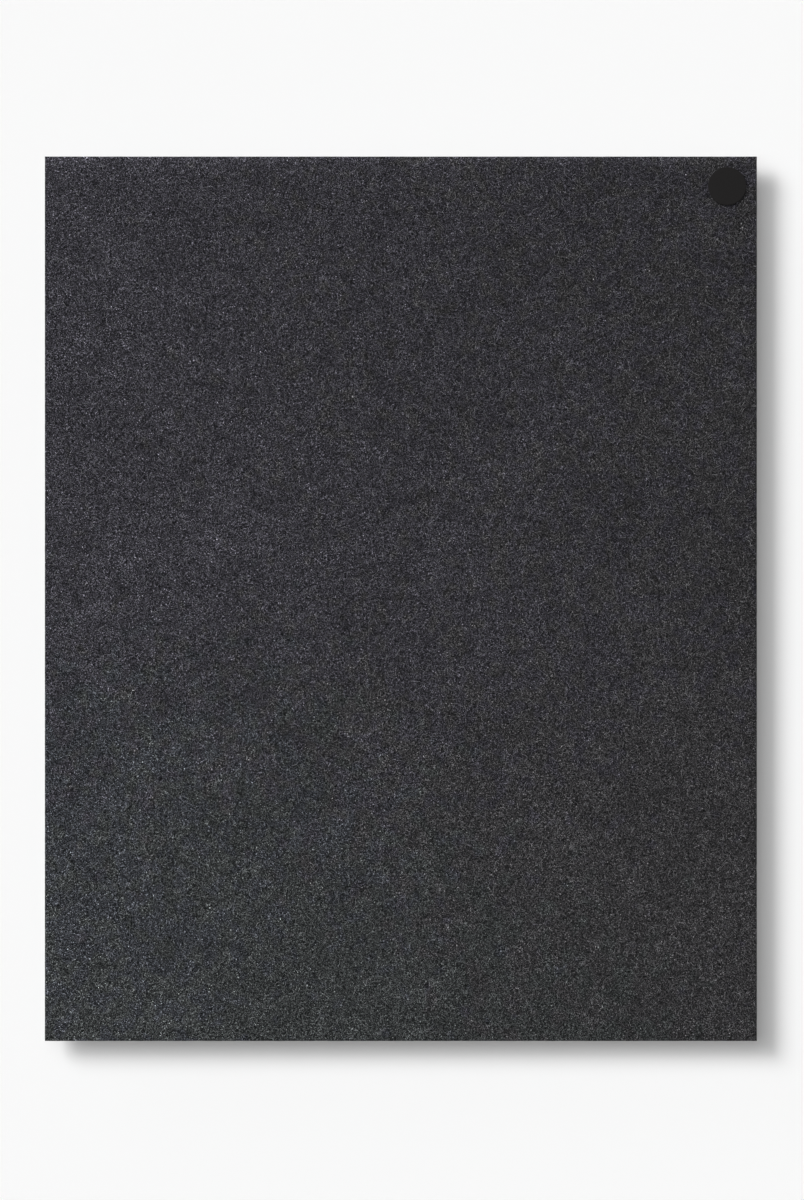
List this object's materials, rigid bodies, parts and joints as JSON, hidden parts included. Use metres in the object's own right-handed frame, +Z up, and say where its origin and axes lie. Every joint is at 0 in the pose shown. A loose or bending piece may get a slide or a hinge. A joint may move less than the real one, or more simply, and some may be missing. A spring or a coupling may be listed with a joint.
{
  "type": "felt bulletin board",
  "caption": "Wall-hung felt bulletin board: felt over steel and a core panel on mitred battens, lifted off a hooked rail pair, with a round pull-off magnet.",
  "frame": {"origin": "on the wall, at the middle of the wall rail's flat back face", "axes": "+Z up along the board's height, +X to the right as seen from the front, -Y out of the wall towards the room, +Y into the wall"},
  "size_m": [0.805, 0.03, 1],
  "materials": {
    "charcoal_felt": "heathered needle felt, matte",
    "zinced_steel": "zinc coated, dull",
    "black_fibreboard": "black wood-fibre panel, sealed",
    "black_band": "black edge band, satin",
    "pine": "planed softwood, bare",
    "bumper_rubber": "moulded black rubber",
    "mill_aluminium": "extruded, natural anodised",
    "black_screw": "black phosphated",
    "black_cap": "fine matte moulding, bare",
    "nickel_plate": "nickel plated"
  },
  "bodies": {
    "wall_rail": {"wall_rail": "mill_aluminium"},
    "board": {"batten_bottom": "pine", "batten_bottom_screw_1": "black_screw", "batten_bottom_screw_2": "black_screw", "batten_bottom_screw_3": "black_screw", "batten_bottom_screw_4": "black_screw", "batten_left": "pine", "batten_left_screw_1": "black_screw", "batten_left_screw_2": "black_screw", "batten_left_screw_3": "black_screw", "batten_left_screw_4": "black_screw", "batten_right": "pine", "batten_right_screw_1": "black_screw", "batten_right_screw_2": "black_screw", "batten_right_screw_3": "black_screw", "batten_right_screw_4": "black_screw", "batten_top": "pine", "batten_top_screw_1": "black_screw", "batten_top_screw_2": "black_screw", "batten_top_screw_3": "black_screw", "batten_top_screw_4": "black_screw", "board_rail": "mill_aluminium", "board_rail_screw_1": "black_screw", "board_rail_screw_2": "black_screw", "board_rail_screw_3": "black_screw", "board_rail_screw_4": "black_screw", "board_rail_screw_5": "black_screw", "bumper_bottom_left": "bumper_rubber", "bumper_bottom_right": "bumper_rubber", "bumper_top_left": "bumper_rubber", "bumper_top_right": "bumper_rubber", "core_panel": "black_fibreboard", "edge_band_bottom": "black_band", "edge_band_left": "black_band", "edge_band_right": "black_band", "edge_band_top": "black_band", "felt_face": "charcoal_felt", "steel_sheet": "zinced_steel"},
    "magnet": {"magnet_cap": "black_cap", "magnet_disc": "nickel_plate", "magnet_pot": "zinced_steel"}
  },
  "joints": [
    {"name": "board_lift", "type": "slide", "parent": "wall_rail", "child": "board", "axis": [0, 0, 1], "range_m": [0, 0.012]},
    {"name": "magnet_pull", "type": "slide", "parent": "board", "child": "magnet", "axis": [0, -1, 0], "range_m": [0, 0.02]}
  ]
}
